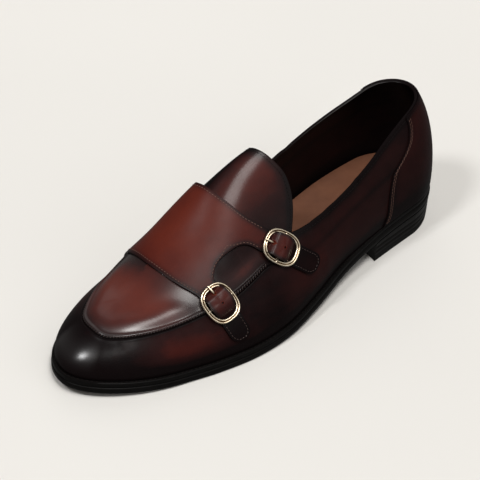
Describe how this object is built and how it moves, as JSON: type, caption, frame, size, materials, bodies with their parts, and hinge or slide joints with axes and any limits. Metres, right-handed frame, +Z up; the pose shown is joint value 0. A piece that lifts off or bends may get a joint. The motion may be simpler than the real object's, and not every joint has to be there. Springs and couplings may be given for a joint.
{
  "type": "monk strap shoe",
  "caption": "Men's leather monk strap shoe for the left foot: apron toe, strap panel with two pale brass buckles, welted sole with a low heel.",
  "frame": {"origin": "middle of the bottom of the box around the shoe, on the floor that the shoe stands on", "axes": "+Z up, toe towards -Y, heel towards +Y, outer side of the foot (buckles) towards +X"},
  "size_m": [0.1022, 0.3, 0.0976],
  "materials": {
    "sole": "black edge dressing, semi-gloss",
    "welt": "black edge dressing with a stitched top",
    "lining": "russet lining leather, satin",
    "upper_leather": "dark red-brown calf, polished, burnished almost black at the edges",
    "panel_leather": "red-brown calf, polished, burnished at the edges",
    "buckle_metal": "pale brass, polished"
  },
  "bodies": {
    "root": {"outsole": "sole", "heel": "sole", "welt": "welt", "insole": "lining", "upper": "upper_leather", "tongue": "panel_leather", "saddle": "panel_leather", "buckle_front": "buckle_metal", "chape_front": "upper_leather", "prong_front": "buckle_metal", "buckle_rear": "buckle_metal", "chape_rear": "upper_leather", "prong_rear": "buckle_metal"}
  },
  "joints": []
}
